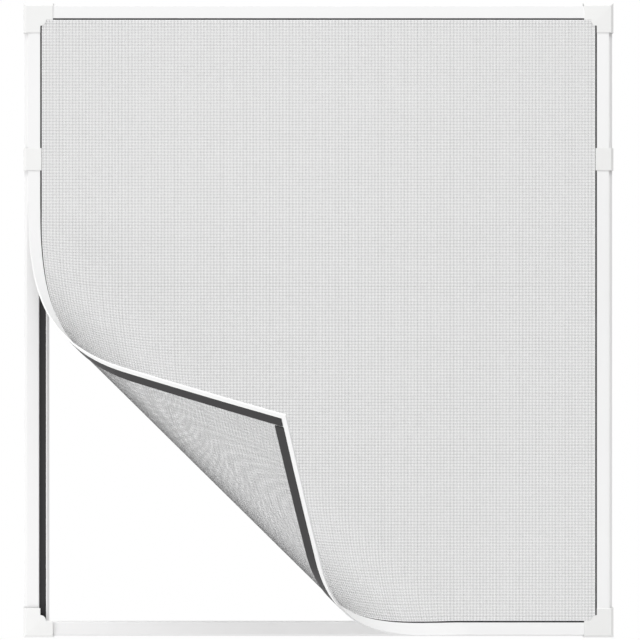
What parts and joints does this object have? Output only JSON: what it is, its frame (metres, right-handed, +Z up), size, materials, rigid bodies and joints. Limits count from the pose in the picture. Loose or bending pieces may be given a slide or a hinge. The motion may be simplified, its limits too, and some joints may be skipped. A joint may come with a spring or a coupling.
{
  "type": "window screen frame",
  "caption": "Stick-on magnetic insect screen: hollow frame with corner caps and joining clips, and a net panel peeled at its lower left corner",
  "frame": {"origin": "the middle of the bottom rail's adhesive tape, on the window face", "axes": "+X along the sill, to the right as seen from the room; +Y into the window face; +Z up"},
  "size_m": [1.004, 0.4352, 1.0794],
  "materials": {
    "frame_white": "satin",
    "cap_white": "satin",
    "border_white": "smooth flexible strip",
    "magnet_black": "matt extruded magnet strip",
    "keeper_steel": "zinc plated",
    "tape_foam": "closed-cell foam tape",
    "net_grey": "woven screen cloth"
  },
  "bodies": {
    "root": {"bottom_keeper": "keeper_steel", "bottom_rail": "frame_white", "bottom_tape": "tape_foam", "catch_carrier": "frame_white", "catch_magnet": "magnet_black", "corner_cap_bottom_left": "cap_white", "corner_cap_bottom_right": "cap_white", "corner_cap_top_left": "cap_white", "corner_cap_top_right": "cap_white", "joining_clip_left": "cap_white", "joining_clip_right": "cap_white", "left_lower_keeper": "keeper_steel", "left_lower_rail": "frame_white", "left_lower_tape": "tape_foam", "left_upper_keeper": "keeper_steel", "left_upper_rail": "frame_white", "left_upper_tape": "tape_foam", "net": "net_grey", "panel_border_bottom": "border_white", "panel_border_left": "border_white", "panel_border_right": "border_white", "panel_border_top": "border_white", "panel_magnet_bottom": "magnet_black", "panel_magnet_left": "magnet_black", "panel_magnet_right": "magnet_black", "panel_magnet_top": "magnet_black", "right_lower_keeper": "keeper_steel", "right_lower_rail": "frame_white", "right_lower_tape": "tape_foam", "right_upper_keeper": "keeper_steel", "right_upper_rail": "frame_white", "right_upper_tape": "tape_foam", "top_keeper": "keeper_steel", "top_rail": "frame_white", "top_tape": "tape_foam"}
  },
  "joints": []
}
